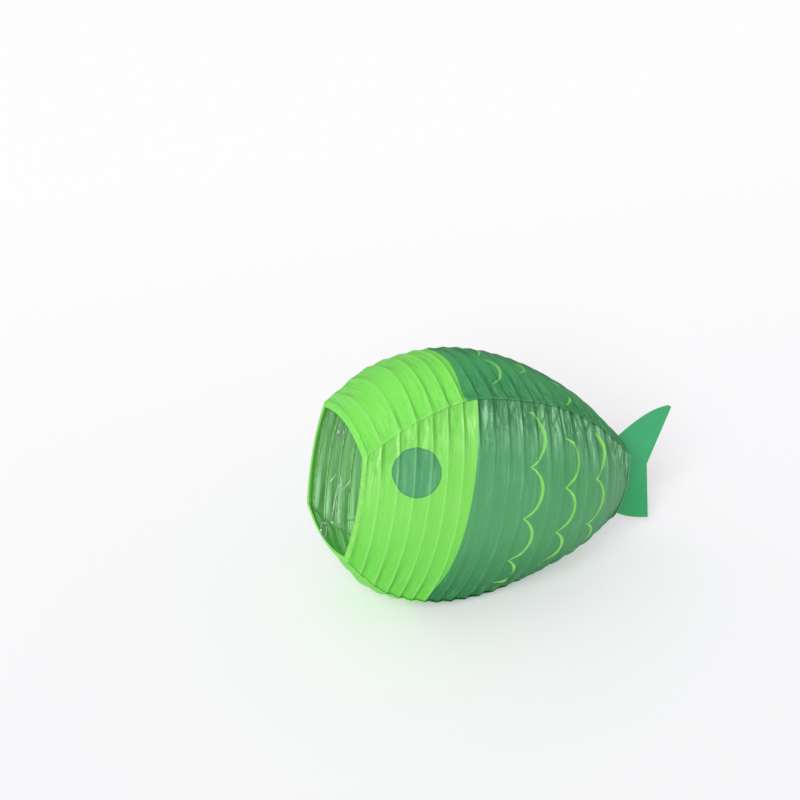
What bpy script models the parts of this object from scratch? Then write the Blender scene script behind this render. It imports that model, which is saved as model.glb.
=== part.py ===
"""Fish-shaped paper lantern: four ribbed paper panels on one wire spiral, held open
by a wire expander, with a card tail fin. Metres, +Z up, mouth towards -X.

The body is drawn level, along X, and a parent empty then tilts it to the way the
empty lantern lies on its belly, with its tail low.
"""
import math

import bmesh
import bpy
from mathutils import Vector

# ---- driving dimensions ------------------------------------------------------------
BODY_LENGTH = 0.250                 # mouth rim to tail rim, held open
REST_PITCH = math.radians(10.5)     # tail-down tilt of the lantern lying on its belly

# Cross-sections, mouth to tail: share of the length, half width and half height at the
# middle of the panels, then half width and half height at the four seams.
STATIONS = (
    (0.00, 0.0505, 0.0550, 0.0440, 0.0465),
    (0.14, 0.0645, 0.0925, 0.0470, 0.0765),
    (0.32, 0.0730, 0.1050, 0.0432, 0.0936),
    (0.50, 0.0780, 0.1010, 0.0432, 0.0922),
    (0.68, 0.0765, 0.0865, 0.0388, 0.0803),
    (0.85, 0.0650, 0.0640, 0.0350, 0.0580),
    (1.00, 0.0370, 0.0335, 0.0315, 0.0285),
)
GAP = 0.0003                        # clearance between neighbouring pieces

PAPER = 0.0005                      # panel thickness
SEAM_GAP = 0.0005                   # from each panel's edge to the seam line
RIBS = 20                           # rib pitches along the body
ACROSS = 5                          # straight facets across one panel

HEM_DEPTH = 0.0032                  # how far a folded hem reaches along the body
HEM_FOLD = 0.0030                   # depth of the hem's fold, outside to inside
HEM_PAPER = 0.0004
RING_WIRE = 0.0006                  # wire radii
RIB_WIRE = 0.0005
EXPANDER_WIRE = 0.0007
HOOK_WIRE = 0.0005
HOLDER_WIRE = 0.0005

EYE_RADIUS = 0.0058                 # the expander's two end eyes, at the mouth rim
EYE_SETBACK = -0.0014
MOUTH_CLEARANCE = 0.0007            # from an eye to the inner edge of the mouth's hem
HEEL = (-0.0110, 0.0255)            # the expander's far end, from the tail rim: reach, height
FOOT = (-0.0042, 0.0310)
SHOULDER = (-0.0055, 0.0210)
RECESS = (-0.0180, 0.0200)

HOLDER_WIDTH = 0.0340               # half sizes of the loop that carries the tail fin
HOLDER_HEIGHT = 0.0120
HOLDER_SETBACK = 0.0042

HOOK_FRONT = ((0.0041, -0.0090), (0.0072, -0.0023), (0.0044, 0.0062),
              (0.0011, 0.0054), (-0.0028, -0.0017))
HOOK_REAR = ((0.0050, -0.0100), (0.0104, -0.0061), (0.0144, 0.0010))
FRONT_FOOT = 0.0050                 # where its two feet grip the expander's lower leg
REAR_FOOT = 0.0120

CARD = 0.0005                       # tail fin, in its own plane: along, height
TONGUE_LENGTH = 0.0130
TONGUE_HEIGHT = 0.0180
SLOT = 0.0018
FIN_ROOT = (-0.0020, 0.0225)
UPPER_LOBE = ((0.0140, 0.0400), (0.0280, 0.0545), (0.0470, 0.0572))
LOWER_LOBE = ((0.0080, -0.0450), (0.0280, -0.0535), (0.0560, -0.0540))
UPPER_TIP = (0.0500, 0.0553)
NOTCH = (0.0404, 0.0005)

TAIL = BODY_LENGTH / 2
MOUTH = -TAIL

# ---- materials: colour, roughness, metallic ------------------------------------------
FINISHES = {
    "head_paper": ((0.26, 0.70, 0.12, 1.0), 0.85, 0.0),
    "body_paper": ((0.06, 0.30, 0.12, 1.0), 0.85, 0.0),
    "fin_card": ((0.05, 0.36, 0.16, 1.0), 0.55, 0.0),
    "steel_wire": ((0.62, 0.62, 0.60, 1.0), 0.35, 1.0),
}


def finish(name):
    """The named material, made on first use."""
    material = bpy.data.materials.get(name)
    if material is None:
        colour, roughness, metallic = FINISHES[name]
        material = bpy.data.materials.new(name)
        material.use_nodes = True
        shader = material.node_tree.nodes["Principled BSDF"]
        shader.inputs["Base Color"].default_value = colour
        shader.inputs["Roughness"].default_value = roughness
        shader.inputs["Metallic"].default_value = metallic
    return material


def start_scene():
    """Empty the file and make the collection that holds the lantern."""
    for thing in list(bpy.data.objects):
        bpy.data.objects.remove(thing)
    collection = bpy.data.collections.new("fish_lantern")
    bpy.context.scene.collection.children.link(collection)
    return collection


# ---- the body's shape ---------------------------------------------------------------
def outline(along):
    """Half sizes of the cross-section at a share of the length, on a smooth curve."""
    last = len(STATIONS) - 2
    index = sum(1 for station in STATIONS[1:-1] if along >= station[0])
    index = min(index, last)
    before, after = STATIONS[index], STATIONS[index + 1]
    span = after[0] - before[0]
    share = (along - before[0]) / span

    def slope(i, k):
        """Slope at a station: central inside, one-sided at the two ends."""
        low, high = max(i - 1, 0), min(i + 1, len(STATIONS) - 1)
        return (STATIONS[high][k] - STATIONS[low][k]) / (STATIONS[high][0] - STATIONS[low][0])

    sizes = []
    for k in range(1, 5):
        h00 = 2 * share ** 3 - 3 * share ** 2 + 1
        h10 = share ** 3 - 2 * share ** 2 + share
        h01 = 3 * share ** 2 - 2 * share ** 3
        h11 = share ** 3 - share ** 2
        sizes.append(h00 * before[k] + h10 * span * slope(index, k)
                     + h01 * after[k] + h11 * span * slope(index + 1, k))
    return sizes


def skin_point(x, inset, turn):
    """A point on the body, inset from its skin, at x along it.

    turn counts panels round the section: 0 to 1 is the right side (+Y), 1 to 2 the
    top, 2 to 3 the left side (-Y) and 3 to 4 the bottom. Each panel is one arc.
    """
    sizes = outline((x - MOUTH) / BODY_LENGTH)
    half_width, half_height, seam_width, seam_height = (size - inset for size in sizes)
    corners = [Vector((side * seam_width, level * seam_height))
               for side, level in ((1, -1), (1, 1), (-1, 1), (-1, -1))]
    panel = math.floor(turn) % 4
    start, end = corners[panel], corners[(panel + 1) % 4]
    rise = half_width - seam_width if panel % 2 == 0 else half_height - seam_height
    chord = (end - start) / 2
    half = chord.length
    radius = (half * half + rise * rise) / (2 * rise)
    angle = (2 * (turn - math.floor(turn)) - 1) * 2 * math.atan2(rise, half)
    ahead = chord / half
    outward = Vector((ahead.y, -ahead.x))
    spot = (start + end) / 2 + ahead * radius * math.sin(angle)
    spot += outward * (rise - radius + radius * math.cos(angle))
    return Vector((x, spot.x, spot.y))


# ---- makers -------------------------------------------------------------------------
def add_mesh(name, shape, material, parent, collection):
    """Put a bmesh in the collection as an object."""
    mesh = bpy.data.meshes.new(name)
    shape.to_mesh(mesh)
    shape.free()
    mesh.materials.append(finish(material))
    mesh.shade_smooth()
    mesh.set_sharp_from_angle(angle=math.radians(35))
    piece = bpy.data.objects.new(name, mesh)
    collection.objects.link(piece)
    piece.parent = parent
    return piece


def add_wire(name, points, radius, parent, collection, closed=False):
    """A round wire along a list of points."""
    curve = bpy.data.curves.new(name, "CURVE")
    curve.dimensions = "3D"
    curve.bevel_depth = radius
    curve.bevel_resolution = 2
    curve.use_fill_caps = not closed
    spline = curve.splines.new("POLY")
    spline.points.add(len(points) - 1)
    for place, point in zip(spline.points, points):
        place.co = (*point, 1.0)
    spline.use_cyclic_u = closed
    curve.materials.append(finish("steel_wire"))
    piece = bpy.data.objects.new(name, curve)
    collection.objects.link(piece)
    piece.parent = parent
    return piece


def rounded(corners, radius, steps=4):
    """A path through corner points with each inner corner turned on an arc."""
    path = [Vector(corners[0])]
    for before, corner, after in zip(corners, corners[1:], corners[2:]):
        corner = Vector(corner)
        back = (Vector(before) - corner).normalized()
        ahead = (Vector(after) - corner).normalized()
        half_angle = back.angle(ahead) / 2
        reach = radius / math.tan(half_angle)
        centre = corner + (back + ahead).normalized() * radius / math.sin(half_angle)
        start = (corner + back * reach - centre).normalized()
        end = (corner + ahead * reach - centre).normalized()
        path += [centre + start.slerp(end, step / steps) * radius for step in range(steps + 1)]
    path.append(Vector(corners[-1]))
    return path


def bezier(ends, steps):
    """Points on a cubic Bezier curve, its first point left out."""
    a, b, c, d = (Vector(end) for end in ends)
    path = []
    for step in range(1, steps + 1):
        t = step / steps
        s = 1 - t
        path.append(a * s ** 3 + b * 3 * s * s * t + c * 3 * s * t * t + d * t ** 3)
    return path


# ---- pieces -------------------------------------------------------------------------
def make_panel(name, first_turn, material, parent, collection):
    """One paper panel, between two seams and the two hems."""
    start = MOUTH + HEM_DEPTH + GAP
    length = BODY_LENGTH - 2 * (HEM_DEPTH + GAP)
    shape = bmesh.new()
    rows = []
    for rib in range(RIBS + 1):
        x = start + length * rib / RIBS
        width = (skin_point(x, 0, first_turn + 0.999) - skin_point(x, 0, first_turn)).length
        margin = SEAM_GAP / width
        shares = [margin + (1 - 2 * margin) * step / ACROSS for step in range(ACROSS + 1)]
        rows.append([shape.verts.new(skin_point(x, 0, first_turn + share)) for share in shares])
    for row, following in zip(rows, rows[1:]):
        for step in range(ACROSS):
            shape.faces.new((row[step], row[step + 1], following[step + 1], following[step]))
    panel = add_mesh(name, shape, material, parent, collection)
    thicken = panel.modifiers.new("paper", "SOLIDIFY")
    thicken.thickness = PAPER
    thicken.offset = -1
    thicken.use_even_offset = True
    return panel


def make_hem(name, rim, inward, material, parent, collection):
    """The folded strip round a rim: a channel that opens towards the panels."""
    profile = (
        (0, 0), (HEM_DEPTH, 0), (HEM_DEPTH, HEM_PAPER), (HEM_PAPER, HEM_PAPER),
        (HEM_PAPER, HEM_FOLD - HEM_PAPER), (HEM_DEPTH, HEM_FOLD - HEM_PAPER),
        (HEM_DEPTH, HEM_FOLD), (0, HEM_FOLD),
    )
    shape = bmesh.new()
    loops = [[shape.verts.new(skin_point(rim + inward * depth, inset, step / ACROSS))
              for step in range(4 * ACROSS)] for depth, inset in profile]
    for loop, following in zip(loops, loops[1:] + loops[:1]):
        for step in range(4 * ACROSS):
            after = (step + 1) % (4 * ACROSS)
            shape.faces.new((loop[step], loop[after], following[after], following[step]))
    bmesh.ops.recalc_face_normals(shape, faces=shape.faces)
    return add_mesh(name, shape, material, parent, collection)


def make_ring(name, rim, inward, parent, collection):
    """The four-cornered wire hoop inside a hem."""
    x = rim + inward * (HEM_PAPER + GAP + RING_WIRE)
    points = [skin_point(x, HEM_FOLD / 2, step / ACROSS) for step in range(4 * ACROSS)]
    return add_wire(name, points, RING_WIRE, parent, collection, closed=True)


def make_spiral(parent, collection):
    """The rib wire: one long spiral just inside the paper, hem to hem."""
    pitch = BODY_LENGTH / RIBS
    inset = PAPER + 0.0017
    per_turn = 4 * ACROSS
    turns = RIBS - 1
    points = [skin_point(MOUTH + pitch * (0.5 + step / per_turn), inset, step / ACROSS)
              for step in range(turns * per_turn + 1)]
    return add_wire("spiral_rib", points, RIB_WIRE, parent, collection)


def leg_height():
    """Height of the expander's legs at the mouth, so that its eyes just clear the hem."""
    rim = outline(0)[1] - HEM_FOLD
    return rim - MOUTH_CLEARANCE - EXPANDER_WIRE - 2 * EYE_RADIUS


def eye_path(level):
    """A round eye across the mouth, from its leg's end round almost to itself."""
    centre = level * (leg_height() + EYE_RADIUS)
    steps = 14
    sweep = math.radians(328)
    path = []
    for step in range(steps + 1):
        angle = sweep * step / steps
        height = centre - level * EYE_RADIUS * math.cos(angle)
        path.append(Vector((MOUTH + EYE_SETBACK, EYE_RADIUS * math.sin(angle), height)))
    return path


def make_expander(parent, collection):
    """The wire frame that holds the body open, from eye to eye round its far end."""
    top_eye, bottom_eye = eye_path(1), eye_path(-1)
    far_end = [(TAIL + reach, 0, height) for reach, height in (HEEL, FOOT, SHOULDER, RECESS)]
    mirrored = [(x, y, -z) for x, y, z in reversed(far_end)]
    corners = [top_eye[1], top_eye[0], *far_end, *mirrored, bottom_eye[0], bottom_eye[1]]
    points = top_eye[:1:-1] + rounded(corners, 0.0012) + bottom_eye[2:]
    return add_wire("expander", points, EXPANDER_WIRE, parent, collection)


def leg_point(reach):
    """A point on the middle of the expander's lower leg, reach behind the mouth rim."""
    start = Vector((MOUTH + EYE_SETBACK, 0, -leg_height()))
    end = Vector((TAIL + HEEL[0], 0, -HEEL[1]))
    return start.lerp(end, (reach - EYE_SETBACK) / (end.x - start.x))


def make_hook_half(name, side, foot, bends, parent, collection):
    """Half of the lamp hook: a foot coiled on the lower leg, a stem and a bent end."""
    radius = EXPANDER_WIRE + GAP + HOOK_WIRE
    centre = leg_point(foot)
    coil = []
    for step in range(11):
        angle = math.radians(-250 + 25 * step)
        coil.append(centre + Vector((0, side * radius * math.cos(angle), radius * math.sin(angle))))
    offset = side * (HOOK_WIRE + GAP)
    ends = [(MOUTH + reach, offset, height) for reach, height in bends]
    points = coil[:-1] + rounded([coil[-1], *ends], 0.0010, steps=3)
    return add_wire(name, points, HOOK_WIRE, parent, collection)


def make_fin_holder(parent, collection):
    """The wire loop across the tail opening that the fin's tongue is pushed onto."""
    x = TAIL - HOLDER_SETBACK
    corner = 0.0040
    points = []
    for quarter, (side, level) in enumerate(((1, 1), (-1, 1), (-1, -1), (1, -1))):
        for step in range(5):
            angle = math.radians(90 * quarter + 22.5 * step)
            points.append((x, side * (HOLDER_WIDTH - corner) + corner * math.cos(angle),
                           level * (HOLDER_HEIGHT - corner) + corner * math.sin(angle)))
    return add_wire("fin_holder", points, HOLDER_WIRE, parent, collection, closed=True)


def fin_outline():
    """The tail fin's edge, from its tongue's upper corner round to its lower one."""
    root = [(-TONGUE_LENGTH, TONGUE_HEIGHT), (FIN_ROOT[0], TONGUE_HEIGHT), FIN_ROOT]
    upper = bezier((FIN_ROOT, *UPPER_LOBE), 10) + [Vector(UPPER_TIP), Vector(NOTCH)]
    lower_root = (FIN_ROOT[0], -FIN_ROOT[1])
    lower = [Vector(LOWER_LOBE[-1])]
    lower += bezier((*LOWER_LOBE[::-1], lower_root), 10)
    lower += [(FIN_ROOT[0], -TONGUE_HEIGHT), (-TONGUE_LENGTH, -TONGUE_HEIGHT)]
    slots = []
    for level in (-1, 1):
        edges = [level * HOLDER_HEIGHT - SLOT / 2, level * HOLDER_HEIGHT + SLOT / 2]
        floor = HOLDER_WIRE + GAP - HOLDER_SETBACK
        slots += [(-TONGUE_LENGTH, edges[0]), (floor, edges[0]),
                  (floor, edges[1]), (-TONGUE_LENGTH, edges[1])]
    return [*root, *upper, *lower, *slots]


def make_fin(parent, collection):
    """The card tail fin, a flat outline with two slots in its tongue."""
    curve = bpy.data.curves.new("tail_fin", "CURVE")
    curve.dimensions = "2D"
    curve.fill_mode = "BOTH"
    curve.extrude = CARD / 2
    points = fin_outline()
    spline = curve.splines.new("POLY")
    spline.points.add(len(points) - 1)
    for place, (along, height) in zip(spline.points, points):
        place.co = (along, height, 0.0, 1.0)
    spline.use_cyclic_u = True
    curve.materials.append(finish("fin_card"))
    fin = bpy.data.objects.new("tail_fin", curve)
    collection.objects.link(fin)
    fin.parent = parent
    fin.rotation_euler = (math.pi / 2, 0, 0)
    return fin


# ---- assembly -----------------------------------------------------------------------
def add_pivot(name, place, parent, collection):
    """An empty on a joint's axis, placed in the level body's coordinates."""
    pivot = bpy.data.objects.new(name, None)
    pivot.empty_display_size = 0.02
    collection.objects.link(pivot)
    pivot.parent = parent
    pivot.location = place
    return pivot


def main():
    lantern = start_scene()
    tilt = add_pivot("rest_tilt", (0, 0, 0), None, lantern)
    tilt.rotation_euler = (0, REST_PITCH, 0)

    panels = (("right_side_panel", 0), ("top_panel", 1), ("left_side_panel", 2), ("bottom_panel", 3))
    for name, first_turn in panels:
        make_panel(name, first_turn, "body_paper", tilt, lantern)
    make_spiral(tilt, lantern)
    make_ring("mouth_ring", MOUTH, 1, tilt, lantern)
    make_hem("mouth_hem", MOUTH, 1, "head_paper", tilt, lantern)

    tail_slide = add_pivot("tail_slide", (TAIL, 0, 0), tilt, lantern)
    fin_slide = add_pivot("fin_slide", (0, 0, 0), tail_slide, lantern)
    tail_end = [
        make_ring("tail_ring", TAIL, -1, tail_slide, lantern),
        make_hem("tail_hem", TAIL, -1, "body_paper", tail_slide, lantern),
        make_fin_holder(tail_slide, lantern),
    ]
    for piece in tail_end:
        piece.location = (-TAIL, 0, 0)
    make_fin(fin_slide, lantern)

    expander_slide = add_pivot("expander_slide", (MOUTH, 0, 0), tilt, lantern)
    make_expander(expander_slide, lantern).location = (-MOUTH, 0, 0)
    hinge_place = leg_point(FRONT_FOOT)
    hook_hinge = add_pivot("hook_hinge", hinge_place - Vector((MOUTH, 0, 0)), expander_slide, lantern)
    hook_halves = [
        make_hook_half("lamp_hook_front", 1, FRONT_FOOT, HOOK_FRONT, hook_hinge, lantern),
        make_hook_half("lamp_hook_rear", -1, REAR_FOOT, HOOK_REAR, hook_hinge, lantern),
    ]
    for half in hook_halves:
        half.location = -hinge_place
    stand_on_floor(tilt, lantern)


def stand_on_floor(tilt, collection):
    """Move the tilted lantern so that the middle of its footprint is the origin."""
    bpy.context.view_layer.update()
    graph = bpy.context.evaluated_depsgraph_get()
    corners = []
    for piece in collection.objects:
        if piece.type == "EMPTY":
            continue
        shown = piece.evaluated_get(graph)
        mesh = shown.to_mesh()
        corners += [shown.matrix_world @ vertex.co for vertex in mesh.vertices]
        shown.to_mesh_clear()
    lengths = [corner.x for corner in corners]
    sides = [corner.y for corner in corners]
    tilt.location = (-(min(lengths) + max(lengths)) / 2, -(min(sides) + max(sides)) / 2,
                     -min(corner.z for corner in corners))


main()
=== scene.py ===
"""Looks for the fish-shaped paper lantern: ribbed paper, printed colours, wire and card."""
import math

import bpy
import numpy as np
from mathutils import Matrix, Vector, noise


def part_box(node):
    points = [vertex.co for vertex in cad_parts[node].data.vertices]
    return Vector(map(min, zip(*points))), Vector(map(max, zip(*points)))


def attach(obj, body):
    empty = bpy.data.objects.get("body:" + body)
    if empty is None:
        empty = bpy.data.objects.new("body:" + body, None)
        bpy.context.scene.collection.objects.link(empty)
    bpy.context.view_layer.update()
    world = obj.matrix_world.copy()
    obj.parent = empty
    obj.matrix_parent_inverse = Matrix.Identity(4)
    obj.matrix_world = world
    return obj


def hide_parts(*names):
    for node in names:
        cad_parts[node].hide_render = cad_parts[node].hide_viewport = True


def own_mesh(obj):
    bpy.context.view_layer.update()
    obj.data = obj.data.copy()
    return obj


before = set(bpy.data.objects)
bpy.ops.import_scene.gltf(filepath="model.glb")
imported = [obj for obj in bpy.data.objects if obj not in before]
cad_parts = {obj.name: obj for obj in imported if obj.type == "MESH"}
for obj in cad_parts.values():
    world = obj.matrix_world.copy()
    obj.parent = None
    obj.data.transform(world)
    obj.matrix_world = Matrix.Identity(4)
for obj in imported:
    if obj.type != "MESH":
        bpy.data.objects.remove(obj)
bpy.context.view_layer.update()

# ---- design sizes, in metres: the same body as the CAD model's ----------------------------
BODY_LENGTH = 0.250             # mouth rim to tail rim
HEM_DEPTH = 0.0032              # how far a folded hem reaches along the body
HEM_FOLD = 0.0028               # depth of the hem's fold, outside to inside
RIBS = 20
PITCH = BODY_LENGTH / RIBS
# share of the length; half width and half height at mid-panel; the same at the seams
STATIONS = np.array((
    (0.00, 0.0505, 0.0550, 0.0440, 0.0465),
    (0.14, 0.0645, 0.0925, 0.0470, 0.0765),
    (0.32, 0.0730, 0.1050, 0.0432, 0.0936),
    (0.50, 0.0780, 0.1010, 0.0432, 0.0922),
    (0.68, 0.0765, 0.0865, 0.0388, 0.0803),
    (0.85, 0.0650, 0.0640, 0.0350, 0.0580),
    (1.00, 0.0370, 0.0335, 0.0315, 0.0285),
))
PAPER = 0.00022                 # sheet thickness
SIDE_SAG = 0.00042              # how far a side panel hollows between two ribs, at mid-panel
TOP_SAG = 0.0009                # the same on the top and bottom, and along every seam
SEAM_SAG = 0.0021               # how much deeper the hollows are beside the seams
FOLD = 0.00055                  # depth of the puckers that run off the seams
PUCKERS = (                     # their slant, how many to a metre, and the noise layer
    (0.20, 100, 3.0),
    (-0.24, 95, 7.0),
    (0.02, 180, 11.0),
)
LAP = 0.008                     # share of a side panel that the top's or bottom's edge laps over
LAP_RISE = 0.00045              # how far those glued edges stand proud
RIB_WIRE = 0.00045              # wire radius
RIB_CLEARANCE = 0.0006          # from the paper's inner face to the rib wire
WIRE_FACETS = 8
ROWS_TO_A_PITCH = 16
SIDE_COLUMNS, TOP_COLUMNS = 72, 40


# ---- where the body is -------------------------------------------------------------------
def box_centre(node):
    """Middle of a CAD node's box."""
    low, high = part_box(node)
    return (Vector(low) + Vector(high)) / 2


mouth_centre, tail_centre = box_centre("mouth_ring"), box_centre("tail_ring")
ahead = (tail_centre - mouth_centre).normalized()
middle = (mouth_centre + tail_centre) / 2
side_axis = Vector((0, 1, 0))
up_axis = ahead.cross(side_axis)
to_world = np.array(Matrix((ahead, side_axis, up_axis)).transposed())
mouth_plane = middle - ahead * (BODY_LENGTH / 2)


def placed(points):
    """Body points (along from the mouth rim, side, up) moved into the row frame."""
    return np.asarray(points) @ to_world.T + np.array(mouth_plane)


# ---- the body's surface --------------------------------------------------------------------
def outline(along):
    """Half sizes of the cross-section at shares of the length, as four arrays."""
    knots = STATIONS[:, 0]
    last = len(knots) - 2
    index = np.clip(np.searchsorted(knots[1:-1], along, side="right"), 0, last)
    slopes = np.empty_like(STATIONS[:, 1:])
    slopes[1:-1] = (STATIONS[2:, 1:] - STATIONS[:-2, 1:]) / (knots[2:] - knots[:-2])[:, None]
    slopes[0] = (STATIONS[1, 1:] - STATIONS[0, 1:]) / (knots[1] - knots[0])
    slopes[-1] = (STATIONS[-1, 1:] - STATIONS[-2, 1:]) / (knots[-1] - knots[-2])
    span = knots[index + 1] - knots[index]
    t = ((along - knots[index]) / span)[..., None]
    span = span[..., None]
    before, after = STATIONS[index, 1:], STATIONS[index + 1, 1:]
    blended = (2 * t ** 3 - 3 * t ** 2 + 1) * before + (3 * t ** 2 - 2 * t ** 3) * after
    blended += (t ** 3 - 2 * t ** 2 + t) * span * slopes[index]
    blended += (t ** 3 - t ** 2) * span * slopes[index + 1]
    return [blended[..., k] for k in range(4)]


def skin(x, turn, inset=0.0):
    """Body points at x along, turn round the section and inset.

    A turn is 0 to 1 on the right panel, then the top, the left and the bottom to 4.
    """
    x, turn, inset = np.broadcast_arrays(np.asarray(x, float), turn, inset)
    sizes = [size - inset for size in outline(x / BODY_LENGTH)]
    half_width, half_height, seam_width, seam_height = sizes
    panel = np.floor(turn).astype(int) % 4
    share = turn - np.floor(turn)
    sides = np.array((1, 1, -1, -1, 1))
    levels = np.array((-1, 1, 1, -1, -1))
    start = np.stack((sides[panel] * seam_width, levels[panel] * seam_height), -1)
    end = np.stack((sides[panel + 1] * seam_width, levels[panel + 1] * seam_height), -1)
    rise = np.where(panel % 2 == 0, half_width - seam_width, half_height - seam_height)
    chord = (end - start) / 2
    half = np.linalg.norm(chord, axis=-1)
    radius = (half ** 2 + rise ** 2) / (2 * rise)
    angle = (2 * share - 1) * 2 * np.arctan2(rise, half)
    along = chord / half[..., None]
    outward = np.stack((along[..., 1], -along[..., 0]), -1)
    spot = (start + end) / 2 + along * (radius * np.sin(angle))[..., None]
    spot = spot + outward * (rise - radius + radius * np.cos(angle))[..., None]
    return np.stack((x, spot[..., 0], spot[..., 1]), -1)


def rib_count(x, turn):
    """Rib wires passed since the mouth: a whole number on a wire, a half midway between two."""
    return x / PITCH - 0.5 - turn / 4


def ripple(along, across, layer):
    """Smooth noise, -1 to 1, over two arrays of paper coordinates."""
    spots = np.stack((along, across, np.full_like(along, layer)), -1)
    flat = [noise.noise(Vector(spot)) for spot in spots.reshape(-1, 3)]
    return np.array(flat).reshape(along.shape)


def paper_inset(x, turn, to_seam, round_body, sag):
    """How far the paper lies inside the skin: hollows between ribs, folds and creases."""
    phase = rib_count(x, turn)
    phase = phase - np.floor(phase)
    beside = to_seam / 0.014 * np.exp(1 - to_seam / 0.014)
    at_seam = np.exp(-to_seam / 0.022)
    # mid-panel the hollow is round; near a seam it is a crease, close behind the rib in front
    crease = np.clip(1.2 * np.exp(-to_seam / 0.030), 0, 1)
    skewed = phase * (1 + 0.8 * crease) / (1 + 0.8 * crease * phase)
    across = 2 * skewed - 1
    vee = 1 - np.sqrt(across ** 2 + 0.004)
    hollow = (1 - 0.75 * crease) * (1 - across ** 2) + 0.75 * crease * np.maximum(vee, 0)
    uneven = 1 + 0.35 * ripple(x * 60, round_body * 16, 5.0)
    depth = (sag * (1 - 0.2 * at_seam) + SEAM_SAG * beside) * uneven
    free = 0.08 + 0.92 * hollow
    folds = 0
    for slant, spacing, layer in PUCKERS:
        lines = ripple((x + slant * to_seam) * spacing, round_body * 14, layer)
        folds = folds + np.maximum(1 - np.abs(lines) / 0.30, 0)
    folds = folds * FOLD * (np.exp(-to_seam / 0.026) - 0.75 * np.exp(-to_seam / 0.0018))
    fine = ripple(x * 520, round_body * 34, 1.0)
    creases = (0.00006 + 0.00016 * at_seam) * fine
    # the paper is drawn tight over the two rims
    ends = np.clip(np.minimum(x, BODY_LENGTH - x) / 0.010, 0, 1)
    return (depth * hollow + (folds + creases) * free) * (0.15 + 0.85 * ends)


# ---- mesh helpers --------------------------------------------------------------------------
def grid_mesh(name, points, closed=False):
    """A quad grid from an array (rows, columns, 3); closed joins the last column to the first."""
    rows, columns = points.shape[:2]
    index = np.arange(rows * columns).reshape(rows, columns)
    if closed:
        index = np.concatenate((index, index[:, :1]), 1)
    faces = np.stack((index[:-1, :-1], index[:-1, 1:], index[1:, 1:], index[1:, :-1]), -1)
    mesh = bpy.data.meshes.new(name)
    mesh.from_pydata(points.reshape(-1, 3).tolist(), [], faces.reshape(-1, 4).tolist())
    mesh.shade_smooth()
    piece = bpy.data.objects.new(name, mesh)
    bpy.context.scene.collection.objects.link(piece)
    return piece


# ---- shader helpers ------------------------------------------------------------------------
class Shader:
    """Builds a procedural material node by node."""

    def __init__(self, name):
        self.material = bpy.data.materials.new(name)
        self.material.use_nodes = True
        self.tree = self.material.node_tree
        self.bsdf = self.tree.nodes["Principled BSDF"]
        self.out = self.tree.nodes["Material Output"]

    def node(self, kind, *values, **settings):
        """A node with its settings, and its inputs in order (None leaves one alone)."""
        made = self.tree.nodes.new("ShaderNode" + kind)
        for key, value in settings.items():
            setattr(made, key, value)
        for socket, value in zip(made.inputs, values):
            self.feed(socket, value)
        return made

    def feed(self, socket, value):
        """Link a socket, or set its value."""
        if value is None:
            return
        if isinstance(value, bpy.types.NodeSocket):
            self.tree.links.new(value, socket)
        else:
            socket.default_value = value

    def math(self, operation, *values, clamp=False):
        return self.node("Math", *values, operation=operation, use_clamp=clamp).outputs[0]

    def mix(self, factor, first, second):
        """A colour between two colours or colour sockets."""
        made = self.tree.nodes.new("ShaderNodeMix")
        made.data_type = "RGBA"
        self.feed(made.inputs[0], factor)
        self.feed(made.inputs[6], first if hasattr(first, "links") else (*first, 1.0))
        self.feed(made.inputs[7], second if hasattr(second, "links") else (*second, 1.0))
        return made.outputs[2]

    def step(self, value, edge, softness):
        """0 below an edge, 1 above it, over a soft width."""
        made = self.node("MapRange", value, edge - softness, edge + softness, 0.0, 1.0)
        made.interpolation_type = "SMOOTHSTEP"
        return made.outputs[0]

    def noise(self, vector, scale, detail=2.0, roughness=0.5, distortion=0.0):
        """Noise from 0 to 1 at a vector."""
        made = self.node("TexNoise")
        for key, value in (("Vector", vector), ("Scale", scale), ("Detail", detail),
                           ("Roughness", roughness), ("Distortion", distortion)):
            self.feed(made.inputs[key], value)
        return made.outputs["Fac"]

    def stretched(self, vector, x, y, z):
        """A vector scaled differently along its three axes."""
        made = self.node("VectorMath", vector, (x, y, z), operation="MULTIPLY")
        return made.outputs[0]

    def specked(self, colour, fibre):
        """A colour made lighter and darker by the paper's fibres."""
        speck = self.math("MULTIPLY", self.math("SUBTRACT", fibre, 0.5), 0.16)
        value = self.math("ADD", 1.0, speck)
        return self.node("HueSaturation", None, None, value, None, colour).outputs[0]

    def bump(self, height, strength, distance):
        """A bumped normal."""
        made = self.node("Bump", strength, distance)
        self.feed(made.inputs["Height"], height)
        return made.outputs[0]

    def let_light_through(self, share, colour, normal):
        """Ends the material as thin paper: this share of its light comes through it."""
        glow = self.node("BsdfTranslucent", colour, normal)
        mixed = self.node("MixShader", share, self.bsdf.outputs[0], glow.outputs[0])
        self.feed(self.out.inputs["Surface"], mixed.outputs[0])


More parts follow.
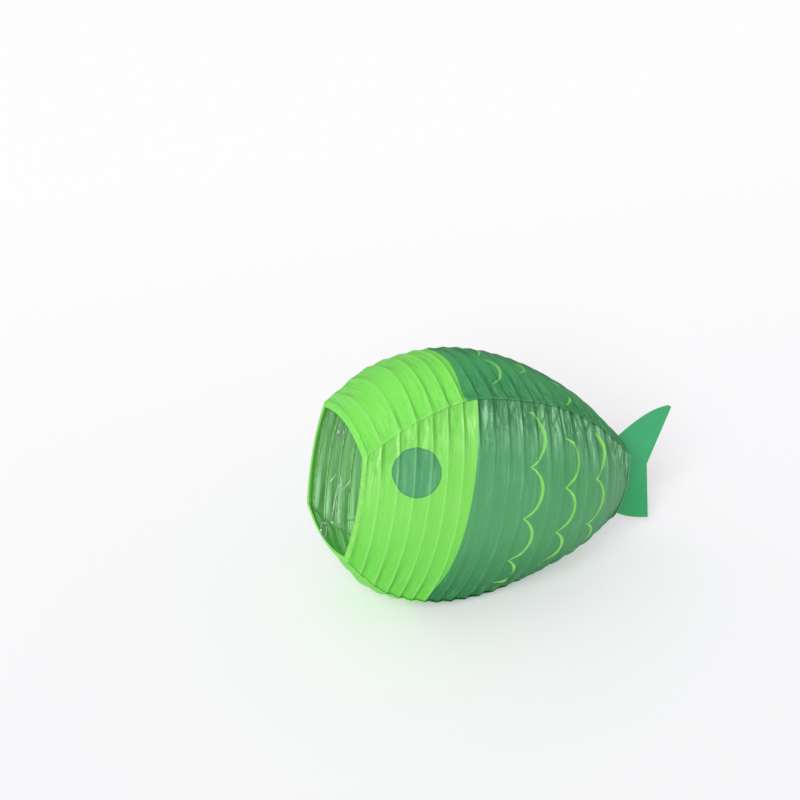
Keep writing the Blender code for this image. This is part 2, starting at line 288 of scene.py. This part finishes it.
# ---- printed colours, as reflected light; some also stand for painted light and shade --------
HEAD = (0.225, 0.700, 0.108)
# the head's colour made brighter for the top and bottom panels and the mouth hem's top and bottom:
# painted light from above
TOP_HEAD_PAINTED_LIGHT = (0.235, 0.850, 0.108)
HEAD_LIGHT = (0.370, 0.850, 0.230)
HEAD_DEEP = (0.165, 0.600, 0.070)
HEAD_BELLY_SHADE = (0.165, 0.690, 0.072)    # painted shade towards the belly
BODY_SIDE = (0.088, 0.350, 0.140)
BODY_SIDE_LIGHT = (0.280, 0.630, 0.340)
BODY_SIDE_DEEP = (0.028, 0.195, 0.065)
BODY_BELLY_SHADE = (0.002, 0.205, 0.048)    # painted shade towards the belly
BODY_TOP = (0.060, 0.425, 0.130)
BODY_TOP_LIGHT = (0.115, 0.400, 0.175)
BODY_TOP_DEEP = (0.020, 0.150, 0.055)
EYE = (0.082, 0.345, 0.145)
EYE_LIGHT = (0.150, 0.455, 0.215)
EYE_RIM = (0.040, 0.240, 0.085)
SCALE_INK = (0.250, 0.720, 0.130)
INSIDE = (0.72, 1.00, 0.76)         # the unprinted back of the paper
RIB_WEAR_AND_HIGHLIGHT = (0.55, 0.95, 0.42)           # a rib's pale line: ink worn thin over the wire, and a painted highlight

# columns of scales: where the cusps and crests are along the body, the first cusp's height
# on the panel (down, or to the left on the top), the spacing and how many scales
SIDE_SCALES = (
    (0.1315, 0.1440, -0.0900, 0.0435, 4),
    (0.1655, 0.1780, -0.0670, 0.0400, 3),
    (0.1975, 0.2090, -0.0690, 0.0400, 3),
)
TOP_SCALES = (
    (0.1090, 0.1220, -0.0595, 0.0445, 2),
    (0.1430, 0.1560, -0.0390, 0.0445, 1),
    (0.1760, 0.1885, -0.0107, 0.0430, 1),
)
LEAN = 0.035                    # the print leans this much towards the mouth going down
SIDE_EYE = (0.0400, -0.0405, 0.0187, 0.0205)    # its middle along and across, its half sizes
SIDE_BORDER, TOP_BORDER = 0.0845, 0.0805        # where the head's colour ends
SIDE_STROKE, TOP_STROKE = 0.0013, 0.0008        # half width of a scale's line
SIDE_RIB_WEAR_AND_HIGHLIGHT, TOP_RIB_WEAR_AND_HIGHLIGHT = (0.45, 0.04), (0.35, 0.03)    # how pale the ribs' lines are, from wear and a painted highlight: head, body
# the pleat strengths set how strongly the painted shade of creases and the painted highlights of
# pleats show
SIDE_PLEATS, TOP_PLEATS = 0.95, 0.45            # how strongly the creases show
SEAM_BAND = (0.031, 0.019)      # the creased band beside a seam: its width, and half its fade
CREASE_LINES = (                # their slant, how many to a metre, and the noise layer
    (0.13, 115.0, 2.0),
    (-0.16, 105.0, 6.0),
    (0.02, 190.0, 9.0),
)


def scale_column(shader, along, across, wander, thick, column):
    """Ink of one column of crescents that bulge towards the tail."""
    cusp, crest, first, spacing, count = column
    half = spacing / 2
    rise = crest - cusp
    radius = (half ** 2 + rise ** 2) / (2 * rise)
    math_ = shader.math
    shifted = math_("SUBTRACT", across, first)
    around = math_("SUBTRACT", math_("FLOORED_MODULO", shifted, spacing), half)
    ahead_ = math_("SUBTRACT", along, crest - radius)
    squared = math_("ADD", math_("MULTIPLY", ahead_, ahead_), math_("MULTIPLY", around, around))
    away = math_("ABSOLUTE", math_("SUBTRACT", math_("SQRT", squared), radius))
    bend = math_("DIVIDE", math_("ABSOLUTE", around), half)
    taper = math_("SUBTRACT", 1.0, math_("MULTIPLY", math_("POWER", bend, 2.6), 0.62))
    width = math_("MULTIPLY", taper, math_("ADD", thick, math_("MULTIPLY", wander, 0.0009)))
    ink = math_("SUBTRACT", 1.0, math_("DIVIDE", away, width))
    ink = math_("MULTIPLY", ink, 2.4, clamp=True)
    ink = math_("MULTIPLY", ink, math_("GREATER_THAN", along, cusp - 0.0012))
    ink = math_("MULTIPLY", ink, math_("GREATER_THAN", shifted, 0.0))
    return math_("MULTIPLY", ink, math_("LESS_THAN", shifted, spacing * count))


def painted_shade_of_creases(shader, along, across, seam, rib, cloud):
    """Painted shade of the paper's creases: one behind each rib, and lines that fan off the seams.
    """
    math_ = shader.math
    ragged = math_("MULTIPLY", math_("SUBTRACT", cloud, 0.5), 0.5)
    phase = math_("FRACT", math_("ADD", rib, math_("ADD", ragged, 0.02)))
    # painted shade on the face just behind each rib, the face turned away from the light
    behind = math_("SUBTRACT", 1.0, shader.step(phase, 0.30, 0.20))
    marks = math_("MULTIPLY", behind, shader.step(phase, 0.02, 0.03))
    for slant, scale, layer in CREASE_LINES:
        shear = math_("ADD", along, math_("MULTIPLY", seam, slant))
        shear = math_("ADD", shear, math_("MULTIPLY", cloud, 0.006))
        spot = shader.node("CombineXYZ", math_("MULTIPLY", shear, scale),
                           math_("MULTIPLY", across, 20.0), layer).outputs[0]
        line = math_("ABSOLUTE", math_("SUBTRACT", shader.noise(spot, 1.0, 1.0), 0.5))
        line = math_("SUBTRACT", 1.0, math_("DIVIDE", line, 0.075), clamp=True)
        marks = math_("MAXIMUM", marks, line)
    return marks


def printed_eye(shader, eye, along, across, wander, streaks, cloud, colour):
    """The colour, with a mottled eye and its darker rim printed over it."""
    math_ = shader.math
    middle_along, middle_across, half_length, half_height = eye
    out_along = math_("DIVIDE", math_("SUBTRACT", along, middle_along), half_length)
    out_across = math_("DIVIDE", math_("SUBTRACT", across, middle_across), half_height)
    out = math_("SQRT", math_("ADD", math_("MULTIPLY", out_along, out_along),
                              math_("MULTIPLY", out_across, out_across)))
    out = math_("ADD", out, math_("MULTIPLY", math_("SUBTRACT", wander, 0.5), 0.03))
    mottled = math_("ADD", math_("MULTIPLY", streaks, 0.6), math_("MULTIPLY", cloud, 0.4))
    iris = shader.mix(shader.step(mottled, 0.57, 0.09), EYE, EYE_LIGHT)
    rim = shader.step(out, 0.955, 0.02)
    iris = shader.mix(math_("MULTIPLY", rim, 0.6), iris, EYE_RIM)
    return shader.mix(shader.step(out, 1.0, 0.02), iris, colour)


def paper_material(name, columns, stroke, head, body, border, wear_and_highlight, pleats, eye=None,
                   inside=False):
    """Printed rice paper: head and body colours, scales, an eye, fibres, and painted light and
    shade on its creases and pleats.

    The sheet attribute is the way along from the mouth, the way across from mid-panel and the
    distance to the nearest seam. Only a side panel has an eye, and painted shade towards the
    belly.
    """
    shader = Shader(name)
    math_ = shader.math
    sheet = shader.node("Attribute", attribute_name="sheet").outputs["Vector"]
    rib = shader.node("Attribute", attribute_name="rib").outputs["Fac"]
    along, across, seam = shader.node("SeparateXYZ", sheet).outputs[:3]
    leaning = math_("ADD", along, math_("MULTIPLY", across, LEAN))

    streaks = shader.noise(shader.stretched(sheet, 420.0, 24.0, 0.0), 1.0, 3.0, 0.6, 0.5)
    fine = shader.noise(shader.stretched(sheet, 1300.0, 80.0, 0.0), 1.0, 3.0, 0.65)
    cloud = shader.noise(shader.stretched(sheet, 45.0, 30.0, 0.0), 1.0, 3.0, 0.55)
    fibre = shader.noise(shader.stretched(sheet, 900.0, 2600.0, 0.0), 1.0, 4.0, 0.7, 1.2)
    wander = shader.noise(shader.stretched(sheet, 160.0, 260.0, 0.0), 1.0, 3.0, 0.6)

    # uneven ink, and painted light and shade of the pleats, in streaks that are stronger towards
    # the seams
    near_seam = math_("POWER", 2.718, math_("DIVIDE", seam, -0.030))
    contrast = math_("ADD", 0.7, math_("MULTIPLY", near_seam, 4.6))
    blend = math_("ADD", math_("MULTIPLY", streaks, 0.62), math_("MULTIPLY", fine, 0.38))
    blend = math_("ADD", math_("MULTIPLY", math_("SUBTRACT", blend, 0.5), contrast), 0.5)
    blend = math_("ADD", blend, math_("MULTIPLY", math_("SUBTRACT", cloud, 0.5), 0.5))
    lighter = shader.step(blend, 0.80, 0.30)
    deeper = math_("SUBTRACT", 1.0, shader.step(blend, 0.20, 0.30))

    # painted shade in the creases and painted highlights on the pleats, in the band beside a seam
    band = math_("SUBTRACT", 1.0, shader.step(seam, *SEAM_BAND))
    painted_crease_shade = painted_shade_of_creases(shader, along, across, seam, rib, cloud)
    painted_crease_shade = math_("MULTIPLY", painted_crease_shade, math_("MULTIPLY", band, 0.95), clamp=True)
    ridges = shader.noise(shader.stretched(sheet, 230.0, 19.0, 0.0), 1.0, 2.0, 0.5, 0.4)
    painted_pleat_highlight = math_("MULTIPLY", shader.step(ridges, 0.48, 0.06), 0.65)
    painted_pleat_highlight = math_("ADD", painted_pleat_highlight, math_("MULTIPLY", shader.step(streaks, 0.54, 0.09), 0.55))
    painted_pleat_highlight = math_("MULTIPLY", band, math_("ADD", 0.12, painted_pleat_highlight), clamp=True)
    crumple = shader.noise(shader.stretched(sheet, 240.0, 150.0, 0.0), 1.0, 3.0, 0.6, 1.2)
    crumple_highlight = math_("MULTIPLY", shader.step(crumple, 0.58, 0.07), math_("MULTIPLY", band, 0.55))
    crumple_shade = math_("SUBTRACT", 1.0, shader.step(crumple, 0.42, 0.06))
    painted_crease_shade = math_("MAXIMUM", painted_crease_shade, math_("MULTIPLY", crumple_shade, math_("MULTIPLY", band, 0.5)))
    painted_pleat_highlight = math_("MAXIMUM", painted_pleat_highlight, crumple_highlight)
    if eye:
        shaded = shader.step(across, 0.015, 0.030)
        painted_pleat_highlight = math_("MULTIPLY", painted_pleat_highlight, math_("SUBTRACT", 1.0, math_("MULTIPLY", shaded, 0.9)))
    else:
        painted_pleat_highlight = math_("MULTIPLY", painted_pleat_highlight, 0.55)

    plain, light, deep = head
    front = shader.mix(math_("MULTIPLY", lighter, 0.8), plain, light)
    front = shader.mix(math_("MULTIPLY", deeper, 0.65), front, deep)
    # painted highlights and painted shade of the pleats and creases
    front = shader.mix(math_("MULTIPLY", painted_pleat_highlight, pleats), front, light)
    front = shader.mix(math_("MULTIPLY", painted_crease_shade, 0.95 * pleats ** 2), front, deep)
    if eye:
        # painted shade towards the belly
        front = shader.mix(math_("MULTIPLY", shaded, 0.6), front, HEAD_BELLY_SHADE)
    plain, light, deep = body
    rear = shader.mix(math_("MULTIPLY", lighter, 0.9), plain, light)
    rear = shader.mix(math_("MULTIPLY", deeper, 0.8), rear, deep)
    # painted highlights and painted shade of the pleats and creases
    rear = shader.mix(painted_pleat_highlight, rear, light)
    rear = shader.mix(math_("MULTIPLY", painted_crease_shade, pleats), rear, deep)
    if eye:
        rear = shader.mix(math_("MULTIPLY", shader.step(along, 0.205, 0.030), 0.14), rear, light)
        # painted shade towards the belly
        belly_shade = math_("MULTIPLY", shader.step(across, 0.034, 0.036), 0.55)
        rear = shader.mix(belly_shade, rear, BODY_BELLY_SHADE)

    edge = math_("ADD", leaning, math_("MULTIPLY", math_("SUBTRACT", wander, 0.5), 0.0010))
    colour = shader.mix(shader.step(edge, border, 0.0005), front, rear)
    if eye:
        colour = printed_eye(shader, eye, along, across, wander, streaks, cloud, colour)
    ink = None
    for column in columns:
        scales = scale_column(shader, leaning, across, wander, stroke, column)
        ink = scales if ink is None else math_("MAXIMUM", ink, scales)
    ink = math_("MULTIPLY", ink, math_("ADD", 0.78, math_("MULTIPLY", fine, 0.4)), clamp=True)
    colour = shader.mix(ink, colour, SCALE_INK)

    # ink worn thin along the ribs with a painted highlight there, fibres in the paper, and its
    # paler back
    from_rib = math_("SUBTRACT", math_("FRACT", math_("ADD", rib, 0.56)), 0.5)
    from_rib = math_("MULTIPLY", math_("ABSOLUTE", from_rib), PITCH)
    rib_wear_and_highlight = math_("SUBTRACT", 1.0, shader.step(from_rib, 0.0006, 0.0005))
    share = shader.node("MapRange", edge, border - 0.0005, border + 0.0005, *wear_and_highlight).outputs[0]
    rib_wear_and_highlight = math_("MULTIPLY", rib_wear_and_highlight, math_("MULTIPLY", share, math_("ADD", 0.3, fine)))
    colour = shader.mix(rib_wear_and_highlight, colour, shader.mix(0.5, colour, RIB_WEAR_AND_HIGHLIGHT))
    colour = shader.specked(colour, fibre)
    if inside:
        pale = math_("ADD", 0.57, math_("MULTIPLY", shader.step(streaks, 0.55, 0.10), 0.38))
        colour = shader.mix(pale, colour, INSIDE)

    relief = math_("ADD", math_("MULTIPLY", fine, 0.55), math_("MULTIPLY", fibre, 0.45))
    pleated = math_("ADD", 0.8, math_("MULTIPLY", near_seam, 5.0))
    relief = math_("ADD", relief, math_("MULTIPLY", streaks, pleated))
    bump = shader.bump(relief, 0.6, 0.00045)
    bsdf = shader.bsdf
    shader.feed(bsdf.inputs["Base Color"], colour)
    shader.feed(bsdf.inputs["Roughness"], math_("ADD", 0.42, math_("MULTIPLY", fibre, 0.25)))
    shader.feed(bsdf.inputs["Normal"], bump)
    bsdf.inputs["Specular IOR Level"].default_value = 0.3
    shader.let_light_through(0.45 if inside else 0.25, colour, bump)
    return shader.material


def steel_material(name, colour, roughness):
    """Drawn wire: fine draw lines, faint tarnish."""
    shader = Shader(name)
    place = shader.node("NewGeometry").outputs["Position"]
    lines = shader.noise(shader.stretched(place, 3000.0, 9000.0, 9000.0), 1.0, 2.0)
    tarnish = shader.noise(place, 180.0, 4.0, 0.6)
    math_ = shader.math
    dark = tuple(channel * 0.45 for channel in colour)
    shade = shader.mix(shader.step(tarnish, 0.58, 0.14), colour, dark)
    bsdf = shader.bsdf
    shader.feed(bsdf.inputs["Base Color"], shade)
    bsdf.inputs["Metallic"].default_value = 1.0
    rough = math_("ADD", roughness - 0.08, math_("MULTIPLY", lines, 0.12))
    shader.feed(bsdf.inputs["Roughness"], math_("ADD", rough, math_("MULTIPLY", tarnish, 0.12)))
    shader.feed(bsdf.inputs["Normal"], shader.bump(lines, 0.25, 0.00005))
    return shader.material


def card_material():
    """Satin printed card with soft mottling."""
    shader = Shader("fin_card")
    math_ = shader.math
    place = shader.node("NewGeometry").outputs["Position"]
    mottle = shader.noise(place, 60.0, 4.0, 0.6)
    grain = shader.noise(place, 2600.0, 3.0, 0.6)
    tone = math_("ADD", math_("MULTIPLY", mottle, 0.7), math_("MULTIPLY", grain, 0.3))
    height = shader.node("SeparateXYZ", shader.node("TexCoord").outputs["Generated"]).outputs[2]
    upper_card = shader.mix(tone, (0.034, 0.305, 0.112), (0.040, 0.360, 0.150))
    lower_card = shader.mix(tone, (0.016, 0.270, 0.075), (0.022, 0.310, 0.100))
    colour = shader.mix(shader.step(height, 0.35, 0.35), lower_card, upper_card)
    bsdf = shader.bsdf
    shader.feed(bsdf.inputs["Base Color"], colour)
    shader.feed(bsdf.inputs["Roughness"], math_("ADD", 0.42, math_("MULTIPLY", grain, 0.16)))
    bsdf.inputs["Specular IOR Level"].default_value = 0.3
    shader.feed(bsdf.inputs["Normal"], shader.bump(grain, 0.2, 0.0001))
    return shader.material


def hem_material(name, plain, top, light, deep):
    """Folded paper strip: the panel's paper, doubled and glued, with fine pleats in painted light
    and shade, and painted shade on the inside of the fold.

    The fold attribute is the way through the fold from the outside, a level from 0 on the sides
    to 1 on the top and bottom, and the turn round the rim.
    """
    shader = Shader(name)
    math_ = shader.math
    place = shader.node("NewGeometry").outputs["Position"]
    cloud = shader.noise(place, 90.0, 4.0, 0.6)
    fibre = shader.noise(place, 1700.0, 4.0, 0.7, 1.0)
    marks = shader.node("Attribute", attribute_name="fold").outputs["Vector"]
    fold, level = shader.node("SeparateXYZ", marks).outputs[:2]
    pleats = shader.noise(shader.stretched(marks, 3.0, 0.0, 34.0), 1.0, 4.0, 0.65)
    plain = shader.mix(level, plain, top)
    colour = shader.mix(math_("MULTIPLY", shader.step(cloud, 0.55, 0.2), 0.3), plain, light)
    # painted highlights and painted shade of the hem's pleats
    colour = shader.mix(math_("MULTIPLY", shader.step(pleats, 0.58, 0.08), 0.5), colour, light)
    pleat_shade = math_("SUBTRACT", 1.0, shader.step(pleats, 0.42, 0.07))
    colour = shader.mix(math_("MULTIPLY", pleat_shade, 0.5), colour, deep)
    # painted shade on the inner side of the fold
    colour = shader.mix(math_("MULTIPLY", shader.step(fold, 0.62, 0.10), 0.9), colour, deep)
    colour = shader.specked(colour, fibre)
    bump = shader.bump(math_("ADD", fibre, math_("MULTIPLY", pleats, 3.0)), 0.4, 0.0003)
    bsdf = shader.bsdf
    shader.feed(bsdf.inputs["Base Color"], colour)
    shader.feed(bsdf.inputs["Roughness"], math_("ADD", 0.55, math_("MULTIPLY", fibre, 0.25)))
    shader.feed(bsdf.inputs["Normal"], bump)
    shader.let_light_through(0.2, colour, bump)
    return shader.material


def folded(piece):
    """Attach the piece to the mouth end and give it a mesh of its own."""
    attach(piece, "mouth_end")
    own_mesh(piece)


# ---- pieces ----------------------------------------------------------------------------------
def panel_rows(first_turn):
    """Distances along the panel's middle: one on each wire, and closer together near it."""
    start, end = HEM_DEPTH - 0.0012, BODY_LENGTH - HEM_DEPTH + 0.0012
    steps = np.arange(ROWS_TO_A_PITCH) / ROWS_TO_A_PITCH
    steps = steps - 0.02 * np.sin(steps * 2 * np.pi)
    turns = np.arange(-2, RIBS + 1)[:, None] + steps
    rows = (PITCH * (turns + 0.5 + (first_turn + 0.5) / 4)).ravel()
    rows = rows[(rows > start + 0.0003) & (rows < end - 0.0003)]
    return np.concatenate(((start,), rows, (end,)))


def mark(piece, name, kind, values):
    """Store values on the piece's points, for its material."""
    layer = piece.data.attributes.new(name, kind, "POINT")
    key = "vector" if kind == "FLOAT_VECTOR" else "value"
    layer.data.foreach_set(key, values.astype(np.float32).ravel())


def thicken(piece, inner_material=0):
    """Give the piece the paper's thickness, inwards."""
    sheet = piece.modifiers.new("sheet", "SOLIDIFY")
    sheet.thickness = PAPER
    sheet.offset = -1
    sheet.material_offset = inner_material


def make_panel(node, first_turn, flip, lap, materials):
    """One ribbed, creased paper panel, whose edges lap over this share of its neighbours."""
    level = first_turn % 2 == 1     # the top or the bottom
    rows = panel_rows(first_turn)
    share = np.linspace(0.0, 1.0, TOP_COLUMNS if level else SIDE_COLUMNS)
    if lap:
        share = np.concatenate(((-0.5 * lap, ), share, (1 + 0.5 * lap, )))
    # the rows follow the spiral, but run straight round at the two rims
    room = np.minimum(rows - rows[0], rows[-1] - rows) / 0.009
    fade = np.clip(room, 0, 1) ** 2 * (3 - 2 * np.clip(room, 0, 1))
    x = rows[:, None] + fade[:, None] * PITCH * (share[None, :] - 0.5) / 4
    shares = np.repeat(share[None, :], len(rows), 0)
    if lap:
        edge_wave = 0.12 * ripple(x * 90, np.full_like(x, first_turn), 2.0)
        shares[:, 0] -= (0.5 * lap) * (1 + 2 * edge_wave[:, 0])
        shares[:, -1] += (0.5 * lap) * (1 + 2 * edge_wave[:, -1])
    turn = first_turn + np.clip(shares, -1, 2 if lap else 1 - 1e-9)
    steps = np.linalg.norm(np.diff(skin(x, turn), axis=1), axis=-1)
    reach = np.concatenate((np.zeros((len(rows), 1)), np.cumsum(steps, 1)), 1)
    lower, mid, upper = (
        np.array([np.interp(stop, own, row) for own, row in zip(shares, reach)])[:, None]
        for stop in (0.0, 0.5, 1.0))
    from_edge = np.minimum(reach - lower, upper - reach)
    to_seam = np.maximum(from_edge, 0)
    hung = 1.0 if level else np.exp(-to_seam / 0.005)
    sag = SIDE_SAG + (TOP_SAG - SIDE_SAG) * hung
    inset = paper_inset(x, turn, to_seam, reach - mid + 0.3 * first_turn, sag)
    if lap:
        inset = inset - LAP_RISE * np.exp(-to_seam / 0.004)
    piece = grid_mesh(node + "_paper", placed(skin(x, turn, inset)))
    mark(piece, "sheet", "FLOAT_VECTOR", np.stack((x, (reach - mid) * flip, from_edge), -1))
    mark(piece, "rib", "FLOAT", rib_count(x, turn))
    thicken(piece, inner_material=1)
    for material in materials:
        piece.data.materials.append(material)
    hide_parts(node)
    folded(piece)
    return piece


def make_hem(node, rim, inward, material, body):
    """A folded paper strip round a rim, plump over its wire and puckered at its glued edge."""
    profile = [(HEM_DEPTH - 0.0004 - 0.0018 * step / 8, -0.00018) for step in range(8)]
    for step in range(13):
        angle = math.pi * step / 12
        profile.append((0.0011 - 0.0011 * math.sin(angle),
                        HEM_FOLD / 2 - (HEM_FOLD / 2 + 0.00018) * math.cos(angle)))
    profile += [(0.0014 + 0.0019 * step / 8, HEM_FOLD + 0.00018) for step in range(8)]
    turns = np.linspace(0, 4, 400, endpoint=False)
    depth, inset = np.array(profile).T
    fold = np.linspace(0, 1, len(depth))
    depth, turn = np.meshgrid(depth, turns, indexing="ij")
    inset = np.repeat(inset[:, None], len(turns), 1)
    pucker = ripple(turn * 26, depth * 150, 4.0) + 0.6 * ripple(turn * 60, depth * 260, 6.0)
    loose = np.clip(depth / HEM_DEPTH, 0, 1)
    x = rim + inward * np.maximum(depth + 0.00030 * pucker * loose, 0.00002)
    points = skin(x, turn, inset - 0.00010 * pucker * loose)
    piece = grid_mesh(node + "_fold", placed(points), closed=True)
    if inward > 0:
        piece.data.flip_normals()
    level = np.clip(4 * np.abs(np.sin((turn - 0.5) * math.pi / 2)) - 2.3, 0, 1)
    fold = np.repeat(fold[:, None], len(turns), 1)
    mark(piece, "fold", "FLOAT_VECTOR", np.stack((fold, level, turn), -1))
    thicken(piece)
    piece.data.materials.append(material)
    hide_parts(node)
    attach(piece, body)
    return piece


def make_rib(material):
    """The rib wire, a fine spiral that touches the inside of the paper."""
    per_turn = 96
    turns = RIBS - 1
    count = turns * per_turn + 1
    turn = np.arange(count) * 4 / per_turn
    x = PITCH * (0.5 + turn / 4)
    onward, back = skin(x + 0.0005, turn), skin(x - 0.0005, turn)
    drop = np.linalg.norm((onward - back)[:, 1:], axis=1) / 0.001
    centre = skin(x, turn, (PAPER + RIB_WIRE + RIB_CLEARANCE) * np.sqrt(1 + drop ** 2))
    ahead_dir = np.gradient(centre, axis=0)
    ahead_dir /= np.linalg.norm(ahead_dir, axis=1)[:, None]
    out = skin(x, turn, -0.001) - skin(x, turn, 0.001)
    out -= (out * ahead_dir).sum(1)[:, None] * ahead_dir
    out /= np.linalg.norm(out, axis=1)[:, None]
    side = np.cross(ahead_dir, out)
    angles = np.linspace(0, 2 * math.pi, WIRE_FACETS, endpoint=False)
    rings = (centre[:, None] + RIB_WIRE * (np.cos(angles)[None, :, None] * out[:, None]
                                           + np.sin(angles)[None, :, None] * side[:, None]))
    piece = grid_mesh("rib_wire", placed(rings), closed=True)
    piece.data.materials.append(material)
    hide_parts("spiral_rib")
    folded(piece)
    return piece


def finish_node(node, material):
    """A CAD node with a better finish."""
    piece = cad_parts[node]
    piece.data.materials.clear()
    piece.data.materials.append(material)
    return piece


def finish_wire(node, material):
    """A CAD wire with a better finish and a smoother surface."""
    smooth = finish_node(node, material).modifiers.new("smooth", "SUBSURF")
    smooth.levels = 1
    smooth.render_levels = 1


# ---- stage -----------------------------------------------------------------------------------
CAMERA_PLACE = (-0.5536, -1.1276, 0.8975)
CAMERA_AIM = (0.3280, 0.7982, -0.5054)
KEY_AIM = (0.52, 0.70, -0.62)


def aim(thing, direction):
    """Turn a camera or lamp to look along a direction, upright."""
    thing.rotation_euler = Vector(direction).to_track_quat("-Z", "Y").to_euler()


def make_stage():
    """A plain pale floor, partly lit like a light table, and soft studio light."""
    bpy.ops.mesh.primitive_plane_add(size=12.0, location=(0, 0, 0))
    floor = bpy.context.object
    floor.name = "floor"
    shader = Shader("pale_floor")
    place = shader.node("NewGeometry").outputs["Position"]
    depth = shader.node("SeparateXYZ", place).outputs[1]
    far = shader.node("MapRange", depth, -0.5, 0.9, 0.0, 1.0).outputs[0]
    grain = shader.noise(place, 900.0, 2.0)
    shade = shader.mix(far, (0.644, 0.632, 0.648), (0.683, 0.679, 0.683))
    shader.feed(shader.bsdf.inputs["Base Color"], shade)
    glow = shader.mix(far, (0.885, 0.880, 0.900), (0.965, 0.965, 0.965))
    shader.feed(shader.bsdf.inputs["Emission Color"], glow)
    shader.bsdf.inputs["Emission Strength"].default_value = 0.30
    shader.feed(shader.bsdf.inputs["Roughness"],
                shader.math("ADD", 0.6, shader.math("MULTIPLY", grain, 0.1)))
    floor.data.materials.append(shader.material)

    world = bpy.data.worlds.new("studio")
    bpy.context.scene.world = world
    world.use_nodes = True
    background = world.node_tree.nodes["Background"]
    background.inputs["Color"].default_value = (0.98, 0.988, 1.0, 1.0)
    background.inputs["Strength"].default_value = 0.62

    data = bpy.data.lights.new("key", "SUN")
    data.energy = 2.3
    data.angle = math.radians(30)
    lamp = bpy.data.objects.new("key", data)
    bpy.context.scene.collection.objects.link(lamp)
    aim(lamp, KEY_AIM)


def make_camera():
    """The camera, level, looking down at the fish's left side from ahead of it."""
    data = bpy.data.cameras.new("camera")
    data.sensor_width = 36.0
    data.lens = 81.0
    data.dof.use_dof = False
    camera = bpy.data.objects.new("camera", data)
    bpy.context.scene.collection.objects.link(camera)
    camera.location = CAMERA_PLACE
    aim(camera, CAMERA_AIM)
    bpy.context.scene.camera = camera


def main():
    make_camera()
    make_stage()
    side_colours = ((HEAD, HEAD_LIGHT, HEAD_DEEP), (BODY_SIDE, BODY_SIDE_LIGHT, BODY_SIDE_DEEP))
    top_colours = ((TOP_HEAD_PAINTED_LIGHT, HEAD_LIGHT, HEAD_DEEP), (BODY_TOP, BODY_TOP_LIGHT, BODY_TOP_DEEP))
    side_paper = [paper_material(name, SIDE_SCALES, SIDE_STROKE, *side_colours, SIDE_BORDER,
                                 SIDE_RIB_WEAR_AND_HIGHLIGHT, SIDE_PLEATS, SIDE_EYE, back)
                  for name, back in (("side_paper", False), ("side_paper_back", True))]
    top_paper = [paper_material(name, TOP_SCALES, TOP_STROKE, *top_colours, TOP_BORDER,
                                TOP_RIB_WEAR_AND_HIGHLIGHT, TOP_PLEATS, None, back)
                 for name, back in (("top_paper", False), ("top_paper_back", True))]
    make_panel("left_side_panel", 2, 1, 0.0, side_paper)
    make_panel("right_side_panel", 0, -1, 0.0, side_paper)
    make_panel("top_panel", 1, 1, LAP, top_paper)
    make_panel("bottom_panel", 3, -1, LAP, top_paper)

    mouth_paper = hem_material("mouth_hem_paper", HEAD, TOP_HEAD_PAINTED_LIGHT, HEAD_LIGHT, HEAD_DEEP)
    tail_paper = hem_material("tail_hem_paper", BODY_SIDE, BODY_TOP, BODY_SIDE_LIGHT,
                              BODY_SIDE_DEEP)
    make_hem("mouth_hem", 0.0, 1, mouth_paper, "mouth_end")
    make_hem("tail_hem", BODY_LENGTH, -1, tail_paper, "tail_end")

    dull = steel_material("spring_wire", (0.50, 0.50, 0.48), 0.30)
    bright = steel_material("bright_wire", (0.92, 0.92, 0.90), 0.36)
    make_rib(steel_material("rib_wire", (0.50, 0.90, 0.42), 0.60))
    for node in ("expander", "fin_holder", "mouth_ring", "tail_ring"):
        finish_wire(node, dull)
    for node in ("lamp_hook_front", "lamp_hook_rear"):
        finish_wire(node, bright)
    finish_node("tail_fin", card_material())

    bpy.context.scene.view_settings.view_transform = "Standard"


main()
